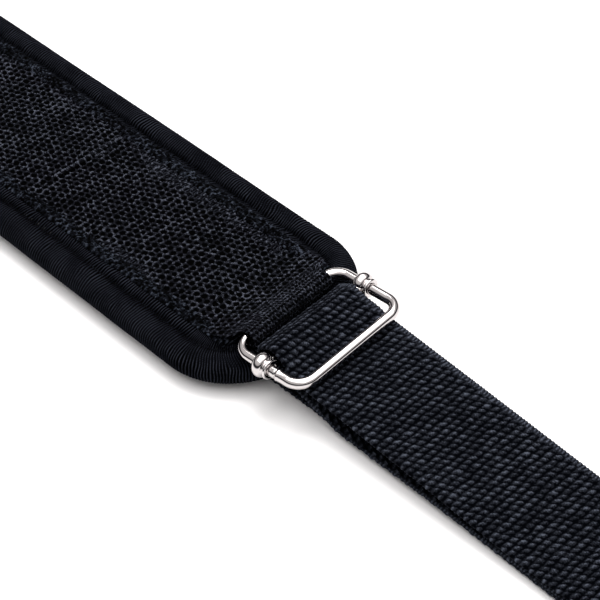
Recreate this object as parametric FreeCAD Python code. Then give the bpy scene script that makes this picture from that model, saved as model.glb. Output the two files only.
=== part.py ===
import FreeCAD, Part
import math
import os

# Saxophone neck strap, laid flat as a closed loop. Millimetres, +Z up.
# X runs along the strap from the pad to the hook, Y across it.
# The origin is the centre of the pad, on the surface that the strap lies on.

V = FreeCAD.Vector

# webbing
WEB_WIDTH = 38.0
WEB_THICK = 1.4
LAYER_GAP = 0.1
# pad
PAD_LENGTH = 320.0
PAD_WIDTH = 70.3
PAD_SHIFT = -0.6
PAD_CORNER = 28.0
PAD_BOTTOM = 1.6
PAD_TOP = 9.3
CLOTH = 0.6
BINDING = 9.0
BINDING_ROUND = 3.4
# woven overlay on the pad
OVERLAY_WIDTH = 47.0
OVERLAY_THICK = 1.0
OVERLAY_START = -139.0
OVERLAY_END = 128.0
HEM_WIDTH = 4.3
HEM_THICK = 0.5
CROSS_SEAM_X = 47.0
LOOP_THICK = 0.8
LOOP_HALF_WIDTH = 16.5
LOOP_SEAT = 0.15
LOOP_RISE_BEND = 8.0
LOOP_EASE = 1.2
LOOP_FLAT = 5.0
LOOP_TUCK = 8.0
LOOP_TAPER = (5.0, 1.5)
SEAM_ROW_ANGLES = (62, 98)
# slider: welded wire frame and movable bar
WIRE_R = 1.75
SLIDER_LENGTH = 27.8
SLIDER_WIDTH = 43.4
SLIDER_CORNER = 5.5
SLIDER_PITCH = 4.5
SLIDER_YAW = 1.5
FIXED_BAR_X = 147.2
MOVING_BAR = 12.3
EYELET_R = 3.9
EYELET_NECK_R = 2.7
EYELET_FLANGE_R = 3.2
EYELET_BARREL = 4.0
EYELET_ROUND = 1.6
EYELET_BACK = 2.6
NECK_FROM = 3.0
NECK_LONG = 2.0
FLANGE_FROM = 4.7
FLANGE_THICK = 1.0
SOFT_GAP = 0.3
RUNNING_GAP = 0.08
# webbing squeezed between the eyelets, and its slack round the skewed bar
SQUEEZED_HALF = 17.4
BAR_SLACK = 0.5
BAR_EASE = 3.6
DROP_ANGLE = 35.0
DROP_BEND = 2.5
TUCK_BEND = 1.05
# threads
THREAD = 0.6
THREAD_HIGH = 0.3
# hook
HOOK_FOLD_R = 3.2
EYE_X = 338.0
EYE_R = 2.0
EYE_WIDTH = 45.0
EYE_CORNER = 4.0
BOSS_ROUND = 0.8
HEAD_R = 3.2
HEAD_LONG = 2.6
STUD_R = 2.0
BOSS_START = 19.0
BOSS_END = 27.0
SHANK_START = 27.3
LINK_START = 45.0
BOWL_X = 55.0
BOWL_R = 6.5
LINK_R = 11.5
LINK_THICK = 6.4
LINK_ROUND = 1.2
SHANK_R = 3.6
STUD_GRIP = 4.0
GATE_PIVOT = (42.0, -9.0)
GATE_LENGTH = 9.0
GATE_HALF = 2.2
GATE_THICK = 3.6
PIN_R = 1.0
SPRING_ROOM_R = 1.8
SPRING_R = 1.45
SPRING_WIRE_R = 0.2
MOUTH_GAP = 0.7
CHEEK_GAP = 0.2
FAR = 10.0

# worked-out places
OVERLAY_TOP = PAD_TOP + OVERLAY_THICK
LOOP_IN = WIRE_R + SOFT_GAP
LOOP_OUT = LOOP_IN + LOOP_THICK
FIXED_BAR = V(FIXED_BAR_X, 0, PAD_TOP + LOOP_SEAT + LOOP_OUT)
RUN_MID = WEB_THICK / 2
TAIL_MID = RUN_MID + WEB_THICK + LAYER_GAP
EYE_Z = RUN_MID + HOOK_FOLD_R
UPPER_LOW = (262.0, TAIL_MID + WEB_THICK + LAYER_GAP)
TAIL_END = 302.0
SEWN_MID = OVERLAY_TOP + LAYER_GAP + RUN_MID
LEFT_FOLD_X = -172.0
SEWN_END_X = -112.0


def save(node, shape):
    shape.exportStep("parts/" + node + ".step")
    print(node, "valid", shape.isValid(), "solids", len(shape.Solids), "volume", round(shape.Volume, 2))


def box(x_low, x_high, y_low, y_high, z_low, z_high):
    return Part.makeBox(x_high - x_low, y_high - y_low, z_high - z_low, V(x_low, y_low, z_low))


def rod(start, end, radius):
    axis = end.sub(start)
    return Part.makeCylinder(radius, axis.Length, start, axis)


def prism(points, z_low, z_high):
    corners = [V(x, y, z_low) for x, y in points]
    face = Part.Face(Part.makePolygon(corners + corners[:1]))
    return face.extrude(V(0, 0, z_high - z_low))


def rounded_corner(before, corner, after, radius):
    """Tangent points and middle point of the arc that rounds one corner of a route."""
    back = before.sub(corner).normalize()
    ahead = after.sub(corner).normalize()
    half = back.getAngle(ahead) / 2
    reach = radius / math.tan(half)
    bisector = back.add(ahead).normalize()
    centre = corner.add(bisector.multiply(radius / math.sin(half)))
    first = corner.add(V(back).multiply(reach))
    last = corner.add(V(ahead).multiply(reach))
    to_corner = corner.sub(centre).normalize()
    return first, centre.add(to_corner.multiply(radius)), last, centre


def route_parts(points, radii):
    """Straight and round parts of a route: [points of the part, centre or None]."""
    parts = []
    here = points[0]
    for index, radius in enumerate(radii, start=1):
        arc = rounded_corner(points[index - 1], points[index], points[index + 1], radius)
        if here.distanceToPoint(arc[0]) > 0.01:
            parts.append(((here, arc[0]), None))
        parts.append((arc[:3], arc[3]))
        here = arc[2]
    parts.append(((here, points[-1]), None))
    return parts


def shifted(parts, shift):
    """The same route moved sideways in the XZ plane, as edges."""
    edges = []
    for points, centre in parts:
        if centre is None:
            along = points[1].sub(points[0]).normalize()
            side = V(-along.z, 0, along.x).multiply(shift)
            edges.append(Part.makeLine(points[0].add(side), points[1].add(side)))
            continue
        along = points[2].sub(points[0])
        side = V(-along.z, 0, along.x)
        outward = points[1].sub(centre)
        radius = outward.Length
        turned = 1 if side.dot(outward) > 0 else -1
        scale = (radius + turned * shift) / radius
        moved = [centre.add(point.sub(centre).multiply(scale)) for point in points]
        edges.append(Part.Arc(*moved).toShape())
    return edges


def ribbon(route, radii, thickness, half_width):
    """A flat band of the given thickness along a route in the XZ plane."""
    parts = route_parts([V(x, -half_width, z) for x, z in route], radii)
    upper = shifted(parts, thickness / 2)
    lower = shifted(parts, -thickness / 2)
    starts = [side[0].valueAt(side[0].FirstParameter) for side in (upper, lower)]
    ends = [side[-1].valueAt(side[-1].LastParameter) for side in (upper, lower)]
    caps = [Part.makeLine(*starts), Part.makeLine(*ends)]
    outline = Part.Wire(Part.__sortEdges__(upper + lower + caps))
    return Part.Face(outline).extrude(V(0, 2 * half_width, 0))


def closed_wire(points, radius):
    """A closed polygon in the XY plane with every corner rounded."""
    count = len(points)
    arcs = []
    for index in range(count):
        arcs.append(rounded_corner(points[index - 1], points[index], points[(index + 1) % count], radius))
    edges = []
    for index, arc in enumerate(arcs):
        edges.append(Part.Arc(*arc[:3]).toShape())
        edges.append(Part.makeLine(arc[2], arcs[(index + 1) % count][0]))
    return Part.Wire(edges)


def bent_rod(points, corner_radius, rod_radius):
    """Round rod bent into a closed flat frame."""
    path = closed_wire(points, corner_radius)
    start = path.Edges[0]
    place = start.valueAt(start.FirstParameter)
    heading = start.tangentAt(start.FirstParameter)
    section = Part.Wire(Part.Circle(place, heading, rod_radius).toShape())
    return path.makePipeShell([section], True, True)


def pad_outline(inset, z):
    half_length = PAD_LENGTH / 2 - inset
    half_width = PAD_WIDTH / 2 - inset
    signs = ((-1, -1), (1, -1), (1, 1), (-1, 1))
    corners = [V(x * half_length, y * half_width + PAD_SHIFT, z) for x, y in signs]
    return closed_wire(corners, PAD_CORNER - inset)


def pad_slab(inset, z_low, z_high):
    return Part.Face(pad_outline(inset, z_low)).extrude(V(0, 0, z_high - z_low))


def pad():
    outer = pad_slab(0, PAD_BOTTOM, PAD_TOP)
    rims = [edge for edge in outer.Edges if edge.BoundBox.ZLength < 0.01]
    rolled = outer.makeFillet(BINDING_ROUND, rims)
    save("pad_edge_binding", rolled.cut(pad_slab(BINDING, 0, PAD_TOP + 1)))
    save("pad_foam_core", pad_slab(BINDING, PAD_BOTTOM + CLOTH, PAD_TOP - CLOTH))
    save("pad_top_cover", pad_slab(BINDING, PAD_TOP - CLOTH, PAD_TOP))
    save("pad_lining", pad_slab(BINDING, PAD_BOTTOM, PAD_BOTTOM + CLOTH))
    line_top = PAD_TOP + THREAD_HIGH
    line = pad_slab(BINDING, PAD_TOP, line_top).cut(pad_slab(BINDING + THREAD, PAD_TOP, line_top))
    save("binding_stitching", line.cut(end_loop()))


def loop_slope():
    """Steepness of the overlay's end where it climbs over the fixed bar."""
    wrap = LOOP_IN + LOOP_THICK / 2
    reach = FIXED_BAR.sub(V(OVERLAY_END + LOOP_FLAT, 0, OVERLAY_TOP - LOOP_THICK / 2))
    return math.tan(math.atan2(reach.z, reach.x) + math.asin(wrap / reach.Length))


def end_loop():
    """Overlay end: rises over the slider's fixed bar, wraps it and returns under itself."""
    top_mid = OVERLAY_TOP - LOOP_THICK / 2
    bottom_mid = PAD_TOP + LOOP_SEAT + LOOP_THICK / 2
    wrap = LOOP_IN + LOOP_THICK / 2
    front = FIXED_BAR.x + wrap + LOOP_EASE
    rise_start = OVERLAY_END + LOOP_FLAT
    corner_z = top_mid + (front - rise_start) * loop_slope()
    route = ((OVERLAY_END + 0.7, top_mid), (rise_start, top_mid), (front, corner_z),
             (front, bottom_mid), (FIXED_BAR.x - LOOP_TUCK, bottom_mid))
    band = ribbon(route, (LOOP_RISE_BEND, wrap, wrap), LOOP_THICK, OVERLAY_WIDTH / 2)
    half = OVERLAY_WIDTH / 2
    taper_start, taper_end = (FIXED_BAR.x - back for back in LOOP_TAPER)
    nose = front + LOOP_THICK
    outline = ((OVERLAY_END, -half), (taper_start, -half), (taper_end, -LOOP_HALF_WIDTH),
               (nose, -LOOP_HALF_WIDTH), (nose, LOOP_HALF_WIDTH), (taper_end, LOOP_HALF_WIDTH),
               (taper_start, half), (OVERLAY_END, half))
    loop = band.common(prism(outline, 0, 40))
    loop.rotate(FIXED_BAR, V(0, 0, 1), SLIDER_YAW)
    return loop


def overlay():
    half = OVERLAY_WIDTH / 2
    inner = half - HEM_WIDTH
    hem_top = OVERLAY_TOP + HEM_THICK
    save("mesh_overlay", box(OVERLAY_START, OVERLAY_END, -half, half, PAD_TOP, OVERLAY_TOP))
    threads = []
    for name, side in (("near", -1), ("far", 1)):
        low, high = sorted((side * inner, side * half))
        save("overlay_hem_" + name, box(OVERLAY_START, OVERLAY_END, low, high, OVERLAY_TOP, hem_top))
        middle = (low + high) / 2
        threads.append(box(OVERLAY_START + 2, OVERLAY_END - 2, middle - THREAD / 2, middle + THREAD / 2,
                           hem_top, hem_top + THREAD_HIGH))
    save("overlay_edge_stitching", Part.makeCompound(threads))
    save("overlay_cross_seam", box(CROSS_SEAM_X - THREAD, CROSS_SEAM_X + THREAD, 0.3 - inner, inner - 0.3,
                                   OVERLAY_TOP, OVERLAY_TOP + THREAD_HIGH))
    save("overlay_end_loop", end_loop())
    rows = []
    for angle in SEAM_ROW_ANGLES:
        lean = math.radians(angle)
        nose = FIXED_BAR.add(V(LOOP_EASE, 0, LOOP_EASE * loop_slope()))
        place = nose.add(V(math.cos(lean), 0, math.sin(lean)).multiply(LOOP_OUT + THREAD_HIGH + RUNNING_GAP))
        reach = V(0, LOOP_HALF_WIDTH - 1, 0)
        row = rod(place.sub(reach), place.add(reach), THREAD / 2)
        row.rotate(FIXED_BAR, V(0, 0, 1), SLIDER_YAW)
        rows.append(row)
    save("end_loop_stitching", Part.makeCompound(rows))


def in_slider_place(shape):
    """Slider parts are drawn flat with the fixed bar on the Y axis, then put in place."""
    shape.rotate(V(0, 0, 0), V(0, 1, 0), -SLIDER_PITCH)
    shape.rotate(V(0, 0, 0), V(0, 0, 1), SLIDER_YAW)
    shape.translate(FIXED_BAR)
    return shape


def eyelet(side):
    """Barrel, neck and flange that ride on one short side of the frame."""
    axis_y = side * SLIDER_WIDTH / 2
    along = V(1, 0, 0)
    start = MOVING_BAR - EYELET_BACK
    barrel = Part.makeCylinder(EYELET_R, EYELET_BARREL, V(start, axis_y, 0), along)
    barrel = barrel.makeFillet(EYELET_ROUND, barrel.Edges)
    neck = Part.makeCylinder(EYELET_NECK_R, NECK_LONG, V(start + NECK_FROM, axis_y, 0), along)
    flange = Part.makeCylinder(EYELET_FLANGE_R, FLANGE_THICK, V(start + FLANGE_FROM, axis_y, 0), along)
    bore = Part.makeCylinder(WIRE_R + RUNNING_GAP, 4 * EYELET_R, V(start - EYELET_R, axis_y, 0), along)
    return barrel.fuse([neck, flange]).cut(bore)


def slider():
    half = SLIDER_WIDTH / 2
    corners = [V(0, -half, 0), V(SLIDER_LENGTH, -half, 0), V(SLIDER_LENGTH, half, 0), V(0, half, 0)]
    save("slider_frame", in_slider_place(bent_rod(corners, SLIDER_CORNER, WIRE_R)))
    bar = rod(V(MOVING_BAR, -half, 0), V(MOVING_BAR, half, 0), WIRE_R)
    for name, side in (("near", -1), ("far", 1)):
        inside_eyelet = rod(V(0, side * half, 0), V(SLIDER_LENGTH, side * half, 0), EYELET_R)
        bar = bar.cut(inside_eyelet)
        save("slider_bar_eyelet_" + name, in_slider_place(eyelet(side)))
    save("slider_bar", in_slider_place(bar))


def on_slider(distance):
    """Point at a distance from the fixed bar, in the plane of the tilted slider."""
    tilt = math.radians(SLIDER_PITCH)
    return FIXED_BAR.x + distance * math.cos(tilt), FIXED_BAR.z + distance * math.sin(tilt)


def webbing():
    half = WEB_WIDTH / 2
    wire_clear = WIRE_R + SOFT_GAP + RUN_MID
    wrap = wire_clear + BAR_SLACK
    bar_x, bar_z = on_slider(MOVING_BAR)
    wire_x, wire_z = on_slider(SLIDER_LENGTH)
    upper_start = (wire_x + 3.0, wire_z - wire_clear - 0.7)
    fall = (upper_start[1] - UPPER_LOW[1]) / (UPPER_LOW[0] - upper_start[0])
    dip = (upper_start[0] - 6.4, upper_start[1] + 6.4 * fall)
    reach = math.hypot(dip[0] - bar_x, dip[1] - bar_z)
    rise = math.asin(wrap / reach) + math.atan2(bar_z - dip[1], dip[0] - bar_x)
    left = bar_x - wrap - BAR_EASE
    drop = math.radians(DROP_ANGLE)
    turn_share = wrap / (1 + math.cos(rise + drop))
    crown_x = bar_x + turn_share * (math.sin(rise) - math.sin(drop))
    crown = (crown_x, bar_z + turn_share * (math.cos(rise) + math.cos(drop)))
    shoulder = (left, crown[1] - (crown_x - left) * math.tan(drop))
    under = (left, bar_z - wrap)
    tail_start = (bar_x + 2.6, bar_z - wrap)
    loop = (upper_start, dip, crown, shoulder, under, tail_start)
    save("webbing_slider_loop", ribbon(loop, (6.0, wrap, DROP_BEND, TUCK_BEND), WEB_THICK, SQUEEZED_HALF))
    fold_top = EYE_Z + HOOK_FOLD_R
    upper = (upper_start, UPPER_LOW, (EYE_X - 10, fold_top), (EYE_X, fold_top))
    save("webbing_upper_run", ribbon(upper, (150.0, 60.0), WEB_THICK, half))
    tail_x, tail_z = tail_start
    tail = (tail_start, (tail_x + 3, tail_z), (tail_x + 25, TAIL_MID), (TAIL_END, TAIL_MID))
    narrow, narrow_end, full_start = SQUEEZED_HALF, tail_x + 11, tail_x + 19
    outline = ((tail_x - 1, -narrow), (narrow_end, -narrow), (full_start, -half), (TAIL_END + 1, -half),
               (TAIL_END + 1, half), (full_start, half), (narrow_end, narrow), (tail_x - 1, narrow))
    save("webbing_tail", ribbon(tail, (12.0, 15.0), WEB_THICK, half).common(prism(outline, -1, 40)))
    save("webbing_hook_fold", fold(EYE_X, EYE_Z, HOOK_FOLD_R, 1))
    left_r = (SEWN_MID - RUN_MID) / 2
    save("webbing_left_fold", fold(LEFT_FOLD_X, RUN_MID + left_r, left_r, -1))
    sewn_low = SEWN_MID - RUN_MID
    save("webbing_sewn_end", box(LEFT_FOLD_X, SEWN_END_X, -half, half, sewn_low, sewn_low + WEB_THICK))
    save("webbing_lower_run", lower_run(half))
    tail_hem(half)
    sewn_end_stitching(half)


def fold(x, z, radius, side):
    """Half-turn of webbing about a line across the strap."""
    half = WEB_WIDTH / 2
    outer = rod(V(x, -half, z), V(x, half, z), radius + RUN_MID)
    inner = rod(V(x, -half - 1, z), V(x, half + 1, z), radius - RUN_MID)
    low, high = sorted((x, x + side * 20))
    return outer.cut(inner).common(box(low, high, -half, half, 0, 40))


def lower_run(half):
    """The bottom layer drifts a little sideways under the slider."""
    drift = ((LEFT_FOLD_X, 0), (-100.0, 0), (175.0, 2.0), (285.0, -0.5), (EYE_X, 0))
    near = [(x, y - half) for x, y in drift]
    far = [(x, y + half) for x, y in reversed(drift)]
    return prism(near + far, 0, WEB_THICK)


def tail_hem(half):
    """Folded-back end of the tail and the two thread rows across it."""
    hem_low = TAIL_MID + RUN_MID
    hem_top = hem_low + 1.1
    save("tail_end_hem", box(TAIL_END - 12, TAIL_END, -half, half, hem_low, hem_top))
    rows = []
    for x in (TAIL_END - 9, TAIL_END - 4):
        rows.append(box(x - THREAD / 2, x + THREAD / 2, 2 - half, half - 2, hem_top, hem_top + 0.15))
    save("tail_stitching", Part.makeCompound(rows))


def sewn_end_stitching(half):
    """Box of thread with a cross in it, through webbing, overlay and pad."""
    low_x = SEWN_END_X - 34
    high_x = SEWN_END_X - 4
    edge = half - 4
    z = SEWN_MID + RUN_MID
    outer = box(low_x, high_x, -edge, edge, z, z + THREAD_HIGH)
    inner = box(low_x + THREAD, high_x - THREAD, THREAD - edge, edge - THREAD, z, z + THREAD_HIGH)
    frame = outer.cut(inner)
    for side in (-1, 1):
        slant = THREAD * 0.7
        line = ((low_x, side * -edge), (low_x + slant, side * -edge), (high_x, side * (edge - slant)),
                (high_x, side * edge), (high_x - slant, side * edge), (low_x, side * (slant - edge)))
        frame = frame.fuse(prism(line, z, z + THREAD_HIGH))
    save("sewn_end_stitching", frame.removeSplitter())


def hook_point(x, y=0.0, z=0.0):
    return V(EYE_X + x, y, EYE_Z + z)


def hook_eye():
    half = EYE_WIDTH / 2
    corners = [hook_point(0, -half), hook_point(8, -half), hook_point(23, -7),
               hook_point(23, 7), hook_point(8, half), hook_point(0, half)]
    frame = bent_rod(corners, EYE_CORNER, EYE_R)
    boss = rod(hook_point(BOSS_START), hook_point(BOSS_END), EYE_Z)
    boss = boss.makeFillet(BOSS_ROUND, boss.Edges)
    bore = rod(hook_point(BOSS_START - FAR), hook_point(BOSS_END + FAR), STUD_R + RUNNING_GAP)
    save("hook_eye", frame.fuse(boss).cut(bore))
    head_end = BOSS_START - 0.2
    head = rod(hook_point(head_end - HEAD_LONG), hook_point(head_end), HEAD_R)
    head = head.makeFillet(BOSS_ROUND, head.Edges)
    stud = head.fuse(rod(hook_point(head_end - 1), hook_point(SHANK_START + STUD_GRIP), STUD_R))
    save("swivel_stud", stud)


def stadium(radius, thick):
    """Two round ends joined by straight sides, about the hook's middle plane."""
    ends = [Part.makeCylinder(radius, thick, hook_point(x, 0, -thick / 2)) for x in (LINK_START, BOWL_X)]
    middle = box(EYE_X + LINK_START, EYE_X + BOWL_X, -radius, radius, EYE_Z - thick / 2, EYE_Z + thick / 2)
    return ends[0].fuse([ends[1], middle]).removeSplitter()


def through_pivot(radius, half_height):
    """Upright cylinder on the gate's pivot."""
    pivot_x, pivot_y = GATE_PIVOT
    return rod(hook_point(pivot_x, pivot_y, -half_height), hook_point(pivot_x, pivot_y, half_height), radius)


def hook_body():
    link = stadium(LINK_R, LINK_THICK).cut(stadium(BOWL_R, LINK_THICK))
    rims = [edge for edge in link.Edges if edge.BoundBox.ZLength < 0.01]
    link = link.makeFillet(LINK_ROUND, rims)
    shank = rod(hook_point(SHANK_START), hook_point(LINK_START - 9), SHANK_R)
    stud_hole = rod(hook_point(SHANK_START - 1), hook_point(SHANK_START + STUD_GRIP), STUD_R)
    pivot = EYE_X + GATE_PIVOT[0]
    mouth_end = pivot + GATE_LENGTH + MOUTH_GAP
    mouth_y = CHEEK_GAP - BOWL_R
    outside_y = -LINK_R - 1
    mouth = box(pivot + GATE_HALF + 0.6, mouth_end, outside_y, mouth_y, EYE_Z - FAR, EYE_Z + FAR)
    slot = GATE_THICK / 2 + CHEEK_GAP
    cheek_slot = box(pivot - GATE_HALF - 0.4, mouth_end, outside_y, mouth_y + 1.2, EYE_Z - slot, EYE_Z + slot)
    body = link.fuse(shank).cut([stud_hole, mouth, cheek_slot, through_pivot(PIN_R, FAR)])
    save("hook_body", body)


def gate():
    pivot_x, pivot_y = GATE_PIVOT
    half = GATE_THICK / 2
    arm = box(EYE_X + pivot_x, EYE_X + pivot_x + GATE_LENGTH, pivot_y - GATE_HALF, pivot_y + GATE_HALF,
              EYE_Z - half, EYE_Z + half)
    body = through_pivot(GATE_HALF, half).fuse(arm).removeSplitter()
    save("hook_gate", body.cut([through_pivot(PIN_R + RUNNING_GAP, FAR), through_pivot(SPRING_ROOM_R, 0.8)]))
    save("gate_pin", through_pivot(PIN_R, LINK_THICK / 2 - 0.3))
    turn_places = [hook_point(pivot_x, pivot_y, z) for z in (-0.45, 0, 0.45)]
    turns = [Part.makeTorus(SPRING_R, SPRING_WIRE_R, place) for place in turn_places]
    save("gate_spring", Part.makeCompound(turns))


os.makedirs("parts", exist_ok=True)
pad()
overlay()
slider()
webbing()
hook_eye()
hook_body()
gate()
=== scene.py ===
import math

import bpy
import numpy as np
from mathutils import Matrix, Vector


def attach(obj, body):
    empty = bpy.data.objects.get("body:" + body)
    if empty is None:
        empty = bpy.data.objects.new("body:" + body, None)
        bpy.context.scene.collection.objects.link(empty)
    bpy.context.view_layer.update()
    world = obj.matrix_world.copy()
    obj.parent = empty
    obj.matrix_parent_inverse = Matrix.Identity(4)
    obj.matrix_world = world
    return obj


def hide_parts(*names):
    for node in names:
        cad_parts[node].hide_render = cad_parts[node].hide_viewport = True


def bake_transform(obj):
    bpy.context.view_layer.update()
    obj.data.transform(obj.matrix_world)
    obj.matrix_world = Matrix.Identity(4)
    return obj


# Saxophone neck strap: cloth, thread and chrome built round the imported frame.
# Sizes are in millimetres; make_piece turns them into metres.

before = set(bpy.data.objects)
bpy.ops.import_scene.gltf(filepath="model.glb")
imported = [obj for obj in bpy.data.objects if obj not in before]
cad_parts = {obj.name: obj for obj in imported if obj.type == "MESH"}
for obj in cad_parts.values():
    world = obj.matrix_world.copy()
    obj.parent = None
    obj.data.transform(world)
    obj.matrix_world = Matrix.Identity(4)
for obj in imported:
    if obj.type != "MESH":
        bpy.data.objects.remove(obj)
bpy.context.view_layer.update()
MM = 0.001
rng = np.random.default_rng(20814)

# webbing: its weave repeats every COLUMN along the strap and every ROW across it
WEB_HALF = 19.0
WEB_THICK = 1.4
WEB_RELIEF = 0.5
COLUMN = 2.38
ROW = 2.28
# half width round the moving bar, then the places where one stretch of webbing meets the next
SQUEEZED_HALF = 17.8
WRAP_X = 175.0
LEAD_X = 225.0
NEAR_X = 285.0
UPPER_LAID_X = 262.0
TAIL_END_X = 302.0
HOOK_FOLD_X, HOOK_FOLD_Z, HOOK_FOLD_R = 338.0, 3.9, 3.2
LEFT_FOLD_X, LEFT_FOLD_Z, LEFT_FOLD_R = -172.0, 5.9, 5.2
LOWER_SPLIT_X = 150.0
SEWN_END_X = -112.0
# pad
HALF_LENGTH = 160.0
HALF_WIDTH = 35.15
PAD_SHIFT = -0.6
CORNER = 28.0
GROOVE = 9.0
RIB = 1.0
RIB_HIGH = 0.15
PUCKER = 3.3
# overlay
OVERLAY_START = -139.0
OVERLAY_END = 128.0
OVERLAY_HALF = 23.5
HEM_IN = 19.2
OVERLAY_TOP = 10.3
PANEL_HALF = 20.4
MESH_DEEP = 0.95
LOOP_THICK = 0.8
LOOP_HALF = 16.8
LOOP_EASE = 1.2
BAR_EASE = 3.6
DROP_ANGLE = math.radians(35)
CROSS_SEAM_X = 47.0
SEAM_LEAN = 0.06
CROWDED_X = 139.5
# slider
WIRE_R = 1.75
SLIDER_LENGTH = 27.8
SLIDER_HALF = 21.7
SLIDER_CORNER = 5.5
SLIDER_PITCH = math.radians(4.5)
SLIDER_YAW = math.radians(1.5)
FIXED_BAR = np.array([147.2, 0.0, 12.3])
MOVING_BAR = 12.3
# lights, camera and their aims
LIGHT_AIM = (150, 0, 5)
CAMERA_PLACE = (447.6, -247.6, 424.6)
CAMERA_AIM = (151.7, 1.97, 17.2)
CAMERA_UP = (-0.48855, 0.53983, 0.68549)
CAMERA_LENS = 112.1


# ---------------------------------------------------------------- mesh making
def grid_quads(rows, cols, wrap_rows=False, wrap_cols=False):
    """Quads of a grid whose rows run along +X and columns along +Y, facing +Z."""
    row, col = np.meshgrid(np.arange(rows if wrap_rows else rows - 1),
                           np.arange(cols if wrap_cols else cols - 1), indexing="ij")
    next_row = (row + 1) % rows
    next_col = (col + 1) % cols
    corners = (row * cols + col, next_row * cols + col, next_row * cols + next_col, row * cols + next_col)
    return np.stack(corners, -1).reshape(-1, 4)


def make_piece(name, points, quads, material, uv=None, relief=None):
    mesh = bpy.data.meshes.new(name)
    points = points.reshape(-1, 3)
    mesh.vertices.add(len(points))
    mesh.vertices.foreach_set("co", (points * MM).astype(np.float32).ravel())
    mesh.loops.add(4 * len(quads))
    mesh.loops.foreach_set("vertex_index", quads.astype(np.int32).ravel())
    mesh.polygons.add(len(quads))
    mesh.polygons.foreach_set("loop_start", np.arange(0, 4 * len(quads), 4, dtype=np.int32))
    mesh.update(calc_edges=True)
    mesh.validate()
    mesh.shade_smooth()
    if uv is not None:
        layer = mesh.uv_layers.new(name="cloth")
        loops = np.zeros(len(mesh.loops), np.int32)
        mesh.loops.foreach_get("vertex_index", loops)
        layer.uv.foreach_set("vector", uv.reshape(-1, 2)[loops].astype(np.float32).ravel())
    # The relief also sets the cloth colour: painted shade in the hollows, painted highlight on the crests.
    if relief is not None:
        held = mesh.attributes.new("relief", "FLOAT", "POINT")
        held.data.foreach_set("value", relief.astype(np.float32).ravel())
    mesh.materials.append(material)
    made = bpy.data.objects.new(name, mesh)
    bpy.context.scene.collection.objects.link(made)
    return made


def finish_piece(made, body, slot, *nodes):
    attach(made, body)
    if nodes:
        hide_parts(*nodes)
    return made


# ---------------------------------------------------------------- smooth noise
def smooth(share):
    """Ease from 0 to 1 with no corner at either end."""
    return share * share * (3 - 2 * share)


def value_noise(x, y, seed):
    """Smooth random field from -1 to 1 with a unit cell."""
    table = np.random.default_rng(seed).uniform(-1, 1, (256, 256))
    col, row = np.floor(x).astype(int), np.floor(y).astype(int)
    across, up = smooth(x - col), smooth(y - row)
    left, right, below, above = col % 256, (col + 1) % 256, row % 256, (row + 1) % 256
    low = table[left, below] * (1 - across) + table[right, below] * across
    high = table[left, above] * (1 - across) + table[right, above] * across
    return low * (1 - up) + high * up


def cell_noise(col, row, seed):
    """One random number from -1 to 1 for each cell of a lattice."""
    table = np.random.default_rng(seed).uniform(-1, 1, (211, 97))
    return table[col.astype(int) % 211, row.astype(int) % 97]


# ---------------------------------------------------------------- cloth surfaces
def webbing_relief(s, y):
    """Heavy webbing: broad warp floats in columns, with thin slanting slits between them."""
    s = s + 0.24 * value_noise(s / 9, y / 7, 3) + 0.26 * value_noise(s / 1.7, y / 1.4, 13)
    y = y + 0.14 * value_noise(s / 6, y / 5, 4) + 0.30 * value_noise(s / 1.6, y / 1.5, 14)
    col = np.floor(s / COLUMN)
    along = s / COLUMN - col - 0.5
    slant = y / ROW + 0.5 * s / COLUMN + 0.07 * np.sin(2 * np.pi * along)
    row = np.floor(slant)
    across = slant - row - 0.5
    lift = 0.86 + 0.14 * cell_noise(col, row, 12)
    crown = 1 - 0.16 * (2 * across) ** 2 - 0.12 * (2 * along) ** 2
    # Crest: a raised spot just below each slit that the colour ramp also paints bright, a painted highlight.
    crest = 0.46 * np.exp(-((along - 0.02) / 0.19) ** 2 - ((across - 0.18) / 0.16) ** 2)
    slit_half = (0.30 - 0.24 * along) * (1 + 0.25 * cell_noise(col, row, 11))
    slit = np.exp(-((0.5 - np.abs(across)) * ROW / slit_half) ** 2) * np.clip(0.78 - 0.65 * along, 0, 1)
    groove = np.exp(-((0.5 - np.abs(along)) * COLUMN / 0.32) ** 2)
    groove = groove * (0.66 + 0.34 * value_noise(s / 1.0, y / 1.1, 17))
    ply = 0.93 + 0.07 * np.cos(2 * np.pi * (2.6 * across + 1.2 * along))
    # The weave sets both height and colour level, so the slits and grooves also carry painted shade.
    weave = np.clip(lift * ply * (0.76 * crown + crest) * (1 - slit) * (1 - groove), 0, 1)
    edge = np.clip((np.abs(y) - WEB_HALF + 1.3) / 0.6, 0, 1)
    selvedge = 0.66 + 0.24 * np.cos(2 * np.pi * s / (COLUMN / 2))
    return weave * (1 - edge) + selvedge * edge


def mesh_relief(s, y):
    """Open woven mesh: round holes in staggered columns, ringed by lumpy strands."""
    s = s + 0.35 * value_noise(s / 11, y / 9, 5) + 0.22 * value_noise(s / 1.6, y / 1.6, 15)
    y = y + 0.25 * value_noise(s / 9, y / 9, 6) + 0.20 * value_noise(s / 1.5, y / 1.5, 16)
    col = np.floor(s / COLUMN)
    along = s / COLUMN - col - 0.5
    offset = 0.5 * (col % 2)
    row = np.floor(y / ROW - offset)
    across = y / ROW - offset - row - 0.5
    wide = 0.352 * (1 + 0.14 * cell_noise(col, row, 21))
    away = np.sqrt((along / wide) ** 2 + (across / (wide * 0.98)) ** 2)
    # Holes fall to level 0, which also paints them the darkest colour: painted shade in the holes.
    strand = smooth(np.clip((away - 0.80) / 0.42, 0, 1))
    bead = 0.80 + 0.20 * value_noise(s / 0.62, y / 0.55, 22)
    return strand * bead


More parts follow.
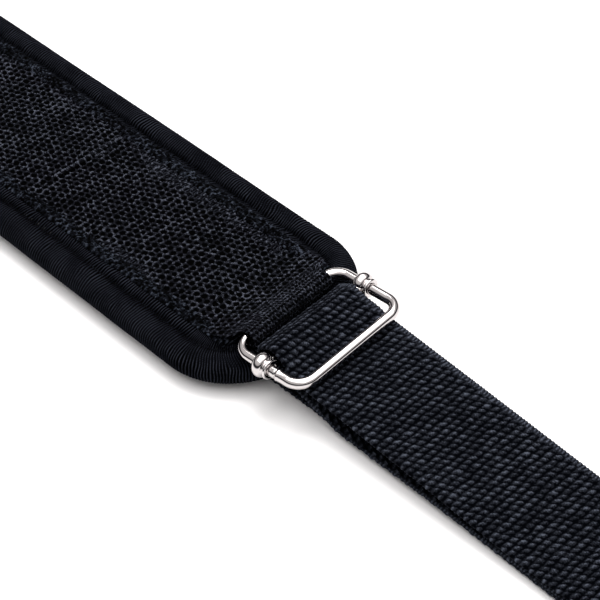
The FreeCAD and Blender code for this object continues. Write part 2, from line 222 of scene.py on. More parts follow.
def fleck_relief(s, y):
    """Crowded short yarn ends: thin crooked ridges in no order."""
    first = 1 - 2.2 * np.abs(value_noise(s / 0.75, y / 0.60, 31))
    second = 1 - 2.2 * np.abs(value_noise(s / 0.6 + 9, y / 0.75, 32))
    body = 0.5 + 0.5 * value_noise(s / 2.1, y / 1.6, 33)
    return np.clip(0.72 * np.maximum(first, second) + 0.28 * body, 0, 1)


def hem_relief(s, y):
    """Turned-under mesh: two layers out of step, so its strands clump and its holes half close."""
    return 0.2 * mesh_relief(s + 0.4, y) + 0.85 * fleck_relief(s, y)


def panel_relief(s, y):
    """The mesh, with its yarn crowded along the sewn fold that crosses it."""
    crowded = fold_share(y) * np.exp(-((s - seam_at(y)) / 0.75) ** 2)
    return mesh_relief(s, y) * (1 - 0.75 * crowded) + crowded * (0.4 + 0.6 * fleck_relief(s, y))


# ---------------------------------------------------------------- routes and bands
def run_along(path):
    """Distance travelled at each point of a path."""
    return np.concatenate([[0], np.cumsum(np.linalg.norm(np.diff(path, axis=0), axis=1))])


def heading_of(path):
    """Unit vector along a path at each of its points."""
    along = np.gradient(path, axis=0)
    return along / np.linalg.norm(along, axis=1)[:, None]


def arc_route(points, radii, step):
    """Evenly spaced stations along straight runs joined by round bends, in the XZ plane."""
    points = [np.array(p, float) for p in points]
    path = [points[0]]
    for before, corner, after, radius in zip(points, points[1:], points[2:], radii):
        back = (before - corner) / np.linalg.norm(before - corner)
        ahead = (after - corner) / np.linalg.norm(after - corner)
        half = math.acos(np.clip(back @ ahead, -1, 1)) / 2
        reach = radius / math.tan(half)
        bisector = (back + ahead) / np.linalg.norm(back + ahead)
        centre = corner + bisector * radius / math.sin(half)
        first = corner + back * reach - centre
        last = corner + ahead * reach - centre
        turn = math.atan2(first[0] * last[1] - first[1] * last[0], first @ last)
        for share in np.linspace(0, 1, 40):
            c, s = math.cos(turn * share), math.sin(turn * share)
            path.append(centre + np.array([c * first[0] - s * first[1], s * first[0] + c * first[1]]))
    path.append(points[-1])
    return even_stations(np.array(path), step)


def even_stations(path, step):
    gaps = np.linalg.norm(np.diff(path, axis=0), axis=1)
    keep = np.concatenate([[True], gaps > 1e-6])
    path = path[keep]
    run = run_along(path)
    count = max(2, int(round(run[-1] / step)) + 1)
    s = np.linspace(0, run[-1], count)
    return s, np.stack([np.interp(s, run, path[:, k]) for k in range(2)], -1)


def section(half, thick, top_step, low_step):
    """Sample places round a flat band: across, face (1 top, 0 edge, -1 underside), edge angle."""
    flat = half - thick / 2
    top = np.linspace(-flat, flat, int(2 * flat / top_step) + 1)
    low = np.linspace(flat, -flat, int(2 * flat / low_step) + 1)
    bend = np.linspace(math.pi / 2, -math.pi / 2, 9)[1:-1]
    across = np.concatenate([top, np.full(7, flat), low, np.full(7, -flat)])
    up, down = np.full(len(top), math.pi / 2), np.full(len(low), -math.pi / 2)
    angle = np.concatenate([up, bend, down, bend[::-1]])
    out = np.concatenate([np.zeros(len(top)), np.ones(7), np.zeros(len(low)), -np.ones(7)])
    return across, angle, out


def band(name, stations, material, half=WEB_HALF, thick=WEB_THICK, relief=webbing_relief, high=WEB_RELIEF,
         top_step=0.22, low_step=0.55, start_s=0.0, width=None, drift=None, rise=None, caps=(False, False),
         yaw=None, low_high=None):
    """A woven band along its stations, its weave in the mesh itself."""
    s, centre = stations
    across, angle, out = section(half, thick, top_step, low_step)
    along = heading_of(centre)
    normal = np.stack([-along[:, 1], along[:, 0]], -1)
    scale = np.ones(len(s)) if width is None else width(centre[:, 0]) / half
    shift = np.zeros(len(s)) if drift is None else drift(centre[:, 0])
    run = (s + start_s)[:, None]
    over = np.sin(angle)
    weave = relief(run, across[None, :] + 0.0 * run)
    lower = relief(run, across[None, :] + ROW / 2 + 0.0 * run)
    low_high = high if low_high is None else low_high
    weave = np.where(over[None, :] > 0, weave, lower)
    deep = np.where(over[None, :] > 0, high, low_high)
    reach = thick / 2 - deep * (1 - weave)
    y = across[None, :] * scale[:, None] + out[None, :] * np.cos(angle)[None, :] * reach + shift[:, None]
    n = over[None, :] * reach
    if rise is not None:
        n = n + rise(run, across[None, :])
    points = np.empty(y.shape + (3,))
    points[..., 0] = centre[:, :1] + normal[:, :1] * n
    points[..., 1] = y
    points[..., 2] = centre[:, 1:] + normal[:, 1:] * n
    rows = [points]
    uv_across = across[None, :] + out * (np.pi / 2 - angle) + 0.0 * run
    uv = np.stack([np.broadcast_to(run, y.shape), uv_across], -1)
    uvs, reliefs = [uv], [weave]
    for place, wanted in ((0, caps[0]), (-1, caps[1])):
        if wanted:
            flat = points[place].copy()
            flat[:, 0] = centre[place, 0]
            flat[:, 2] = centre[place, 1]
            rows.insert(0 if place == 0 else len(rows), flat[None])
            uvs.insert(0 if place == 0 else len(uvs), uv[place][None])
            reliefs.insert(0 if place == 0 else len(reliefs), weave[place][None])
    points = np.concatenate(rows)
    if yaw is not None:
        points = turned(points, yaw)
    quads = grid_quads(points.shape[0], points.shape[1], wrap_cols=True)
    return make_piece(name, points, quads, material, uv=np.concatenate(uvs), relief=np.concatenate(reliefs))


def turned(points, angle, pivot=FIXED_BAR):
    c, s = math.cos(angle), math.sin(angle)
    moved = points - pivot
    x = moved[..., 0] * c - moved[..., 1] * s
    y = moved[..., 0] * s + moved[..., 1] * c
    return np.stack([x, y, moved[..., 2]], -1) + pivot


def tube(name, path, radius, material, sides=20, closed=False, up=(0, 0, 1)):
    """Round tube along points, its radius a number or one for each point."""
    path = np.asarray(path, float)
    radius = np.broadcast_to(radius, len(path))
    if closed:
        along = np.roll(path, -1, 0) - np.roll(path, 1, 0)
    else:
        along = np.gradient(path, axis=0)
    along /= np.linalg.norm(along, axis=1)[:, None]
    side = np.cross(along, np.array(up, float))
    side /= np.linalg.norm(side, axis=1)[:, None]
    over = np.cross(side, along)
    angle = np.linspace(0, 2 * np.pi, sides, endpoint=False)
    ring = (np.cos(angle)[None, :, None] * side[:, None] - np.sin(angle)[None, :, None] * over[:, None])
    points = path[:, None] + ring * radius[:, None, None]
    return make_piece(name, points, grid_quads(len(path), sides, wrap_rows=closed, wrap_cols=True), material)


def revolve(name, profile, material, place, sides=56):
    """A turned part: (along, radius) pairs about a line parallel to the slider's short sides."""
    profile = np.array(profile, float)
    angle = np.linspace(0, 2 * np.pi, sides, endpoint=False)
    points = np.empty((len(profile), sides, 3))
    points[..., 0] = profile[:, :1]
    points[..., 1] = profile[:, 1:] * np.cos(angle)
    points[..., 2] = profile[:, 1:] * np.sin(angle)
    return make_piece(name, place(points), grid_quads(len(profile), sides, wrap_cols=True), material)


def threads(name, rows, material, pitch=3.2, long=2.5, radius=0.28, lift=0.22):
    """Separate stitches along each row of points. Every stitch rises out of the cloth and dips back."""
    points, quads, count = [], [], 0
    ring = np.linspace(0, 2 * np.pi, 8, endpoint=False)
    share = np.linspace(-1, 1, 9)
    for row in rows:
        row = np.asarray(row, float)
        run = run_along(row)
        for middle in np.arange(pitch / 2, run[-1], pitch):
            size = long * (1 + 0.06 * rng.uniform(-1, 1))
            s = middle + share * size / 2
            core = np.stack([np.interp(s, run, row[:, k]) for k in range(3)], -1)
            along = core[-1] - core[0]
            along /= np.linalg.norm(along)
            side = np.cross(along, (0, 0, 1))
            side /= np.linalg.norm(side)
            over = np.cross(side, along)
            core = core + over * (lift * (1 - share ** 4) - 0.2)[:, None] + side * 0.05 * rng.uniform(-1, 1)
            wide = radius * np.sqrt(np.clip(1 - 0.8 * share ** 6, 0.05, 1))
            rings = core[:, None] + wide[:, None, None] * (
                np.cos(ring)[None, :, None] * side - np.sin(ring)[None, :, None] * over)
            points.append(rings.reshape(-1, 3))
            quads.append(grid_quads(9, 8, wrap_cols=True) + count)
            count += 72
    return make_piece(name, np.concatenate(points), np.concatenate(quads), material)


# ---------------------------------------------------------------- materials
class Nodes:
    """Short way to add and join shader nodes."""

    def __init__(self, name):
        self.material = bpy.data.materials.new(name)
        self.material.use_nodes = True
        self.tree = self.material.node_tree
        self.shader = self.tree.nodes["Principled BSDF"]

    def add(self, kind, **settings):
        node = self.tree.nodes.new(kind)
        for key, value in settings.items():
            setattr(node, key, value)
        return node

    def join(self, output, socket):
        self.tree.links.new(output, socket)

    def maths(self, operation, first, second):
        node = self.add("ShaderNodeMath", operation=operation)
        for index, value in enumerate((first, second)):
            if hasattr(value, "is_output"):
                self.join(value, node.inputs[index])
            else:
                node.inputs[index].default_value = value
        return node.outputs[0]

    def noise(self, vector, scale, detail=3.0, roughness=0.55):
        node = self.add("ShaderNodeTexNoise")
        node.inputs["Scale"].default_value = scale
        node.inputs["Detail"].default_value = detail
        node.inputs["Roughness"].default_value = roughness
        self.join(vector, node.inputs["Vector"])
        return node.outputs["Fac"]

    def ramp(self, value, stops):
        node = self.add("ShaderNodeValToRGB")
        while len(node.color_ramp.elements) < len(stops):
            node.color_ramp.elements.new(0.5)
        for element, (place, colour) in zip(node.color_ramp.elements, stops):
            element.position = place
            element.color = (*colour, 1)
        self.join(value, node.inputs["Fac"])
        return node.outputs["Color"]

    def stretched(self, vector, scale):
        node = self.add("ShaderNodeMapping")
        node.inputs["Scale"].default_value = scale
        self.join(vector, node.inputs["Vector"])
        return node.outputs["Vector"]

    def remap(self, value, low, high, first, last):
        node = self.add("ShaderNodeMapRange")
        for key, number in (("From Min", low), ("From Max", high), ("To Min", first), ("To Max", last)):
            node.inputs[key].default_value = number
        self.join(value, node.inputs["Value"])
        return node.outputs["Result"]

    def shifted(self, level, pattern, strength):
        """The level, pushed up and down by a pattern that runs from 0 to 1."""
        swing = self.maths("MULTIPLY", self.maths("SUBTRACT", pattern, 0.5), strength)
        return self.maths("ADD", level, swing)

    def bump(self, height, strength, distance, before=None):
        node = self.add("ShaderNodeBump")
        node.inputs["Strength"].default_value = strength
        node.inputs["Distance"].default_value = distance
        self.join(height, node.inputs["Height"])
        if before is not None:
            self.join(before, node.inputs["Normal"])
        return node.outputs["Normal"]

    def place(self, uv=True):
        node = self.add("ShaderNodeTexCoord")
        return node.outputs["UV"] if uv else node.outputs["Object"]

    def attribute(self, name):
        return self.add("ShaderNodeAttribute", attribute_name=name).outputs["Fac"]

    def set(self, **values):
        for key, value in values.items():
            self.shader.inputs[key.replace("_", " ")].default_value = value


def cloth(name, deep, mid, crest, fibre_scale, fibre_size, roughness, sheen, specular=0.5, patch=0.35,
          levels=(0.1, 0.55, 1.0), grain=0.3, grain_scale=(0.9, 1.1, 1)):
    """Black yarn whose colour follows the relief attribute, with painted shade in the hollows and painted
    highlights on the crests, plus filaments and patchy wear.
    """
    n = Nodes(name)
    place = n.place()
    relief = n.attribute("relief")
    filament = n.noise(n.stretched(place, fibre_scale), 1.0, 4.0, 0.65)
    cloudy = n.noise(n.stretched(place, (0.08, 0.10, 1)), 1.0, 3.0, 0.5)
    worn = n.noise(n.stretched(place, grain_scale), 1.0, 2.0, 0.6)
    level = n.shifted(relief, filament, 0.6)
    level = n.shifted(level, cloudy, patch)
    level = n.shifted(level, worn, grain)
    # Colour ramp over the relief level: the deep stop is painted shade, the mid stop the yarn's own black,
    # the crest stop a painted highlight.
    colour = n.ramp(level, list(zip(levels, (deep, mid, crest))))
    n.join(colour, n.shader.inputs["Base Color"])
    n.join(n.remap(level, levels[1], levels[2], 1.0, roughness), n.shader.inputs["Roughness"])
    n.join(n.bump(filament, 0.55, fibre_size * MM), n.shader.inputs["Normal"])
    n.set(Sheen_Weight=sheen, Sheen_Roughness=0.35, Sheen_Tint=(0.78, 0.90, 0.92, 1))
    n.set(Specular_IOR_Level=specular)
    return n.material


def metal(name, colour, roughness, wave, scratch):
    """Bright plated wire with a faint draw-line ripple, handling scratches and small dull patches."""
    n = Nodes(name)
    place = n.place(uv=False)
    ripple = n.noise(place, 260.0, 2.0, 0.5)
    scored = n.noise(n.stretched(place, (900, 5200, 900)), 1.0, 3.0, 0.6)
    dull = n.noise(place, 700.0, 4.0, 0.65)
    darker = tuple(0.93 * c for c in colour)
    paler = tuple(min(1, 1.02 * c) for c in colour)
    tint = n.ramp(dull, [(0.3, darker), (0.55, colour), (0.8, paler)])
    n.join(tint, n.shader.inputs["Base Color"])
    n.join(n.remap(dull, 0.3, 0.8, roughness * 0.7, roughness * 1.7), n.shader.inputs["Roughness"])
    first = n.bump(ripple, wave, 0.12 * MM)
    n.join(n.bump(scored, scratch, 0.01 * MM, first), n.shader.inputs["Normal"])
    n.set(Metallic=1.0)
    return n.material


# Each cloth's three colours are hollow, yarn and crest: the hollow colour is painted shade, the crest colour
# a painted highlight.
WEB = cloth("webbing_black", (0.0001, 0.0003, 0.0009), (0.0120, 0.0135, 0.0182), (0.068, 0.078, 0.102),
            (1.6, 9.0, 1), 0.12, 0.36, 0.0, specular=0.025, patch=0.15, levels=(0.28, 0.64, 1.06),
            grain=1.0, grain_scale=(2.1, 2.3, 1))
MESH = cloth("mesh_black", (0.0001, 0.0001, 0.0001), (0.0064, 0.0070, 0.0098), (0.066, 0.073, 0.095),
             (7.0, 2.2, 1), 0.10, 0.36, 0.0, specular=0.02, patch=0.25, levels=(0.42, 0.82, 1.22),
             grain=0.80, grain_scale=(1.9, 2.1, 1))
HEM = cloth("mesh_hem_black", (0.0001, 0.0001, 0.0001), (0.0040, 0.0047, 0.0068), (0.046, 0.055, 0.075),
            (5.0, 4.0, 1), 0.12, 0.38, 0.0, specular=0.02, patch=0.30, levels=(0.40, 0.70, 1.12),
            grain=0.5, grain_scale=(1.8, 1.6, 1))
JERSEY = cloth("jersey_black", (0.0001, 0.0001, 0.0002), (0.0036, 0.0041, 0.0060), (0.0200, 0.0222, 0.0300),
               (5.0, 3.0, 1), 0.06, 0.80, 0.006, specular=0.01, patch=0.25, levels=(0.38, 0.66, 1.05),
               grain=0.35, grain_scale=(1.0, 1.4, 1))
THREAD = cloth("thread_black", (0.0003, 0.0003, 0.0004), (0.0016, 0.0018, 0.0024), (0.0060, 0.0066, 0.0088),
               (6.0, 6.0, 1), 0.05, 0.6, 0.0, specular=0.05)
SEWN = cloth("fold_thread_black", (0.0006, 0.0006, 0.0008), (0.0090, 0.0095, 0.0120), (0.050, 0.052, 0.060),
             (6.0, 6.0, 1), 0.05, 0.5, 0.0, specular=0.05)
FOAM = cloth("foam_dark", (0.006, 0.006, 0.007), (0.012, 0.012, 0.014), (0.02, 0.02, 0.022),
             (3.0, 3.0, 1), 0.15, 0.85, 0.0)
CHROME = metal("chrome_plate", (0.58, 0.55, 0.545), 0.05, 0.02, 0.03)
SPRING = metal("spring_steel", (0.55, 0.55, 0.56), 0.22, 0.10, 0.3)


# ---------------------------------------------------------------- pad
def pad_outline(count):
    """For each place round the pad: the middle of its bend or side, and the way outward."""
    side_x, side_y = HALF_LENGTH - CORNER, HALF_WIDTH - CORNER
    quarter = math.pi / 2 * CORNER
    lengths = [2 * side_x, quarter, 2 * side_y, quarter] * 2
    total = sum(lengths)
    t = np.linspace(0, total, count, endpoint=False)
    anchor, outward = np.zeros((count, 2)), np.zeros((count, 2))
    begin = 0.0
    corners = [(side_x, -side_y), (side_x, side_y), (-side_x, side_y), (-side_x, -side_y)]
    for index, long in enumerate(lengths):
        inside = (t >= begin - 1e-9) & (t < begin + long)
        share = (t[inside] - begin) / long
        turn = index // 2
        heading = -math.pi / 2 + turn * math.pi / 2
        corner = np.array(corners[turn % 4])
        if index % 2 == 0:
            before = np.array(corners[turn - 1])
            anchor[inside] = before + share[:, None] * (corner - before)
            outward[inside] = (math.cos(heading), math.sin(heading))
        else:
            angle = heading + share * math.pi / 2
            anchor[inside] = corner
            outward[inside] = np.stack([np.cos(angle), np.sin(angle)], -1)
        begin += long
    anchor[:, 1] += PAD_SHIFT
    return t, anchor, outward, total


def pad_top(inset):
    """Height of the upper face at a distance in from the edge: rolled binding, sewn groove, cover."""
    roll = 5.3 + 4.15 * np.sqrt(np.clip(1 - np.clip((4.8 - inset) / 4.8, 0, 1) ** 2.2, 0, 1))
    past = inset - GROOVE
    roll = roll + 0.25 * smooth(np.clip(past / 3.6, 0, 1))
    return roll - 0.60 * np.exp(-(past / 1.1) ** 2) - 0.40 * np.exp(-(past / 2.8) ** 2)


def pad_low(inset):
    """Height of the underside: flat on the table, tucked up at the edge and at its seam."""
    roll = 5.3 - 3.65 * np.sqrt(np.clip(1 - np.clip((4.2 - inset) / 4.2, 0, 1) ** 2.4, 0, 1))
    return roll + 0.45 * np.exp(-((inset - GROOVE) / 0.9) ** 2)


def ring_surface(name, profile, count, material, strength, lean, closed=False):
    """Cloth round the pad. The profile is (inset, height) pairs; ribs run across it."""
    t, anchor, outward, total = pad_outline(count)
    profile = np.array(profile)
    across = run_along(profile)
    inset, height = profile[:, 0], profile[:, 1]
    ribs = round(total / RIB)
    slip = lean(across)[:, None] + 1.2 * value_noise(t[None, :] / 12, across[:, None] / 7, 41)
    slip = slip + 0.30 * value_noise(t[None, :] / 2.7, across[:, None] / 3, 42)
    slip = slip * np.minimum(1, np.minimum(t, total - t) / 4)[None, :]
    phase = 2 * np.pi * (t[None, :] * ribs / total + slip / RIB)
    size = 1 + 0.3 * value_noise(t[None, :] / 4, across[:, None] / 3, 43)
    rib = np.cos(phase) * size
    rib = np.sign(rib) * np.abs(rib) ** 0.8
    pinch = np.exp(-((inset - GROOVE) / 1.3) ** 2)[:, None]
    pucker = pinch * 0.22 * np.cos(2 * np.pi * t[None, :] / (total / round(total / PUCKER)))
    soft = 0.14 * value_noise(t[None, :] / 17, across[:, None] / 6, 44)
    out = RIB_HIGH * strength[:, None] * rib * (1 + 0.4 * pinch) + pucker + soft * strength[:, None]
    heading = heading_of(profile)
    radius = CORNER - inset[:, None] + heading[:, 1:] * out
    z = height[:, None] + heading[:, :1] * out
    points = np.empty((len(profile), count, 3))
    points[..., :2] = anchor[None] + outward[None] * radius[..., None]
    points[..., 2] = z
    # Colour level: rib tops paler and the sewn groove darker, painted highlight and painted shade.
    level = 0.52 + 0.5 * rib - 0.25 * pinch
    uv = np.stack(np.broadcast_arrays(t[None, :], across[:, None]), -1)
    quads = grid_quads(len(profile), count, wrap_rows=closed, wrap_cols=True)
    return make_piece(name, points, quads, material, uv=uv, relief=level)


def even_profile(pairs, step):
    pairs = np.array(pairs, float)
    run = run_along(pairs)
    s = np.linspace(0, run[-1], int(run[-1] / step) + 1)
    return np.stack([np.interp(s, run, pairs[:, 0]), np.interp(s, run, pairs[:, 1])], -1)


def make_pad():
    low = np.linspace(GROOVE, 0, 120)
    high = np.linspace(0, GROOVE, 240)
    outer = [(i, pad_low(i)) for i in low] + [(i, pad_top(i)) for i in high[1:]]
    profile = even_profile(outer, 0.72)
    strength = np.clip((profile[:, 1] - 1.8) / 2.5, 0.4, 1)
    binding = ring_surface("pad_edge_binding_roll", profile, 2940, JERSEY, strength,
                           lambda across: 0.9 * ((across - 14) / 9) ** 2)
    finish_piece(binding, "strap", "jersey", "pad_edge_binding")
    cover = even_profile([(i, pad_top(i)) for i in np.linspace(GROOVE, 20, 200)], 0.62)
    strength = np.clip((19 - cover[:, 0]) / 4, 0, 1)
    top = ring_surface("pad_top_cover_jersey", cover, 3340, JERSEY, strength,
                       lambda across: -0.5 * across / 3)
    finish_piece(top, "strap", "jersey", "pad_top_cover")
    lining = even_profile([(i, pad_low(i)) for i in np.linspace(CORNER - 0.3, GROOVE, 200)], 1.2)
    below = ring_surface("pad_lining_jersey", lining, 1470, JERSEY, np.full(len(lining), 0.5), np.zeros_like)
    finish_piece(below, "strap", "jersey", "pad_lining")
    insets = np.linspace(GROOVE + 0.4, CORNER - 0.3, 24)
    core = [(i, pad_low(i) + 0.35) for i in insets[::-1]] + [(i, pad_top(i) - 0.35) for i in insets]
    foam = ring_surface("pad_foam_cushion", core, 420, FOAM, np.zeros(len(core)), np.zeros_like, closed=True)
    finish_piece(foam, "strap", "foam", "pad_foam_core")
    _, anchor, outward, _ = pad_outline(1400)
    line = anchor + outward * (CORNER - GROOVE)
    row = np.column_stack([line, np.full(len(line), pad_top(GROOVE) + 0.1)])
    row = np.concatenate([row, row[:1]])
    made = threads("binding_stitches", [row], THREAD, pitch=PUCKER, long=2.0, radius=0.17, lift=0.04)
    finish_piece(made, "strap", "thread", "binding_stitching")


# ---------------------------------------------------------------- overlay
def overlay_rise(s, y):
    """Gentle crown and slow unevenness of the sewn-down mesh."""
    crown = 0.5 * np.clip(1 - (y / OVERLAY_HALF) ** 2, 0, 1)
    return crown + 0.30 * value_noise(s / 23, y / 14, 51) + 0.12 * value_noise(s / 7, y / 6, 52)


def seam_at(y):
    return CROSS_SEAM_X - OVERLAY_START + SEAM_LEAN * y


def fold_share(y):
    """The crossing fold runs over the middle of the overlay and fades before the hems."""
    return np.clip((y + 11.5) / 2, 0, 1) * np.clip((19.5 - y) / 2, 0, 1)


def overlay_surface(s, y):
    past = s - seam_at(y)
    ridge = 0.60 * np.exp(-(past / 0.9) ** 2) - 0.40 * np.exp(-((past - 1.7) / 0.7) ** 2)
    return overlay_rise(s, y) + fold_share(y) * ridge


def make_overlay():
    panel_z, length = OVERLAY_TOP - 0.5, OVERLAY_END - OVERLAY_START
    stations = even_stations(np.array([(OVERLAY_START, panel_z), (OVERLAY_END + 0.7, panel_z)]), COLUMN / 6)
    panel = band("mesh_overlay_panel", stations, MESH, half=PANEL_HALF, thick=1.15, relief=panel_relief,
                 high=MESH_DEEP, top_step=0.285, low_step=8, rise=overlay_surface, caps=(True, False),
                 low_high=0.1)
    finish_piece(panel, "strap", "mesh", "mesh_overlay")
    # Near-black sheet under the mesh: the pad top seen through the holes, given the deepest colour as
    # painted shade.
    backing = lying_sheet("mesh_overlay_backing_painted_shade", OVERLAY_START + 0.5, OVERLAY_END + 4.0, OVERLAY_HALF - 1.2,
                          OVERLAY_TOP - 0.72, MESH)
    finish_piece(backing, "strap", "mesh")
    hems = [make_hem("near", -1), make_hem("far", 1)]
    edge, seam = make_overlay_stitches()
    loop = make_end_loop()


def make_hem(name, side):
    hem_z, middle = OVERLAY_TOP - 0.15, side * (OVERLAY_HALF + HEM_IN) / 2
    line = even_stations(np.array([(OVERLAY_START, hem_z), (OVERLAY_END + 15.0, hem_z)]), COLUMN / 7)

    def drift(x):
        return middle + 0.25 * value_noise(x / 12, x * 0, 60) - side * overlay_pull(x)

    hem = band("overlay_hem_%s_fold" % name, line, HEM, half=(OVERLAY_HALF - HEM_IN) / 2 + 0.25, thick=1.5,
               relief=hem_relief, high=0.5, top_step=0.2, low_step=2, start_s=5.0 * side, drift=drift,
               rise=lambda s, y: hem_crown(s, y, side), caps=(True, True))
    return finish_piece(hem, "strap", "mesh", "overlay_hem_" + name)


def make_overlay_stitches():
    """A row along each hem, and one beside the fold that crosses the overlay."""
    rows = []
    for side in (-1, 1):
        x = np.linspace(OVERLAY_START + 2, OVERLAY_END + 12, 400)
        y = side * (HEM_IN + 0.9) - side * overlay_pull(x)
        rows.append(np.column_stack([x, y, np.full(len(x), OVERLAY_TOP + 0.42)]))
    edge = threads("overlay_edge_stitches", rows, THREAD, pitch=3.0, long=2.2, radius=0.2, lift=0.12)
    finish_piece(edge, "strap", "thread", "overlay_edge_stitching")
    y = np.linspace(-10.6, 18.2, 60)
    crest = overlay_rise(CROSS_SEAM_X - OVERLAY_START + 0 * y, y)
    row = np.column_stack([CROSS_SEAM_X + SEAM_LEAN * y + 0.9, y, OVERLAY_TOP + crest + 0.1])
    seam = threads("overlay_cross_seam_stitches", [row], THREAD, pitch=2.6, long=2.0, radius=0.2, lift=0.15)
    return edge, finish_piece(seam, "strap", "thread", "overlay_cross_seam")


def hem_crown(s, y, side):
    """The hem sinks into the mesh and the cover on both sides."""
    return 0.10 + 0.14 * value_noise(s / 5, y / 2 + side * 9, 53) - 0.32 * (y / 2.4) ** 2


def lying_sheet(name, first, last, half, z, material):
    """Single layer of cloth that follows the overlay's slow unevenness; its low relief gives it the darkest
    colour of its ramp, painted shade.
    """
    x, y = np.meshgrid(np.arange(first, last, 1.2), np.linspace(-half, half, 60), indexing="ij")
    height = z + overlay_rise(x - OVERLAY_START, y)
    points = np.stack([x, y, height], -1)
    # Low level: the darkest colour of the ramp, painted shade.
    weave = 0.1 + 0.1 * value_noise(x / 1.5, y / 1.1, 71)
    return make_piece(name, points, grid_quads(*x.shape), material, uv=np.stack([x, y], -1), relief=weave)


def overlay_pull(x):
    """The overlay narrows a little as it nears the slider."""
    return 1.0 * np.clip((x - 60) / 90, 0, 1) ** 2


def make_end_loop():
    """The overlay's end rises over the fixed bar, wraps it and goes back under itself."""
    top_mid = OVERLAY_TOP - LOOP_THICK / 2
    wrap = WIRE_R + 0.3 + LOOP_THICK / 2
    bottom_mid = FIXED_BAR[2] - wrap
    front = FIXED_BAR[0] + wrap + LOOP_EASE
    rise_start = OVERLAY_END + 5
    reach_x, reach_z = FIXED_BAR[0] - rise_start, FIXED_BAR[2] - top_mid
    slope = math.atan2(reach_z, reach_x) + math.asin(wrap / math.hypot(reach_x, reach_z))
    corner_z = top_mid + (front - rise_start) * math.tan(slope)
    route = ((OVERLAY_END + 0.2, top_mid), (rise_start, top_mid), (front, corner_z), (front, bottom_mid),
             (FIXED_BAR[0] - 8, bottom_mid))
    stations = arc_route(route, (8.0, wrap, wrap), COLUMN / 8)

    def width(x):
        return LOOP_HALF + (OVERLAY_HALF - 1.4 - LOOP_HALF) * np.clip((146.0 - x) / 3.6, 0, 1)

    first_s = OVERLAY_END - OVERLAY_START + 0.2

    def rise(s, y):
        past = s - first_s
        return overlay_rise(s, y) * np.clip(1 - past / 6, 0, 1) + 0.08 * value_noise(past / 3, y / 5, 57)

    loop = band("overlay_end_loop_fold", stations, MESH, half=OVERLAY_HALF - 1.4, thick=LOOP_THICK + 0.15,
                relief=loop_relief, high=0.45, top_step=0.2, low_step=0.8, width=width, start_s=first_s,
                rise=rise, caps=(True, True), yaw=SLIDER_YAW)
    finish_piece(loop, "strap", "mesh", "overlay_end_loop")
    rows = []
    y = np.linspace(-LOOP_HALF + 1, LOOP_HALF - 1, 80)
    for lean in (62, 98, 20):
        reach = WIRE_R + 0.3 + LOOP_THICK + 0.1
        x = FIXED_BAR[0] + LOOP_EASE + math.cos(math.radians(lean)) * reach
        z = FIXED_BAR[2] + LOOP_EASE * math.tan(slope) + math.sin(math.radians(lean)) * reach
        rows.append(turned(np.column_stack([np.full(len(y), x), y, np.full(len(y), z)]), SLIDER_YAW))
    sewn = threads("end_loop_stitches", rows, SEWN, pitch=1.9, long=1.35, radius=0.24, lift=0.15)
    finish_piece(sewn, "strap", "thread", "end_loop_stitching")
    return loop


def loop_relief(s, y):
    """The mesh where it is doubled at the fold: yarn crowded, holes nearly shut."""
    closed = np.clip((s + OVERLAY_START - CROWDED_X) / 4, 0, 1)
    tight = 0.25 + 0.5 * mesh_relief(1.5 * s, 1.35 * y) + 0.3 * fleck_relief(s, y)
    return mesh_relief(s, y) * (1 - closed) + closed * tight


# ---------------------------------------------------------------- webbing
def on_slider(distance):
    """Side view place of a point that far from the fixed bar along the slider."""
    x = FIXED_BAR[0] + distance * math.cos(SLIDER_PITCH)
    return x, FIXED_BAR[2] + distance * math.sin(SLIDER_PITCH)


def drift_low(x):
    """The lower layer lies a little to one side under the slider."""
    return np.interp(x, [LEFT_FOLD_X, -100, WRAP_X, NEAR_X, HOOK_FOLD_X], [0, 0, 2.0, -0.5, 0])


def webbing_route(tail_mid):
    """Side view stations of the webbing, from the hook over the slider's bars to the tail's end."""
    clear = WIRE_R + 0.3 + WEB_THICK / 2
    wrap = clear + 0.5
    bar_x, bar_z = on_slider(MOVING_BAR)
    wire_x, wire_z = on_slider(SLIDER_LENGTH)
    start = (wire_x + 3.0, wire_z - clear - 0.7)
    laid = (UPPER_LAID_X, tail_mid + WEB_THICK + 0.1)
    fall = (start[1] - laid[1]) / (laid[0] - start[0])
    dip = (start[0] - 6.4, start[1] + 6.4 * fall)
    reach = math.hypot(dip[0] - bar_x, dip[1] - bar_z)
    rise = math.asin(wrap / reach) + math.atan2(bar_z - dip[1], dip[0] - bar_x)
    left = bar_x - wrap - BAR_EASE
    turn_share = wrap / (1 + math.cos(rise + DROP_ANGLE))
    crown_x = bar_x + turn_share * (math.sin(rise) - math.sin(DROP_ANGLE))
    crown = (crown_x, bar_z + turn_share * (math.cos(rise) + math.cos(DROP_ANGLE)))
    shoulder = (left, crown[1] - (crown_x - left) * math.tan(DROP_ANGLE))
    under = (left, bar_z - wrap)
    tail_x = bar_x + 2.6
    tail = ((tail_x, under[1]), (tail_x + 3, under[1]), (tail_x + 25, tail_mid), (TAIL_END_X, tail_mid))
    fold_top = HOOK_FOLD_Z + HOOK_FOLD_R
    corners = ((HOOK_FOLD_X, fold_top), (HOOK_FOLD_X - 10, fold_top), laid, start, dip, crown, shoulder,
               under, *tail)
    radii = (60.0, 150.0, 40.0, 6.0, wrap, 2.5, 1.05, 400.0, 12.0, 15.0)
    return arc_route(corners, radii, COLUMN / 8)


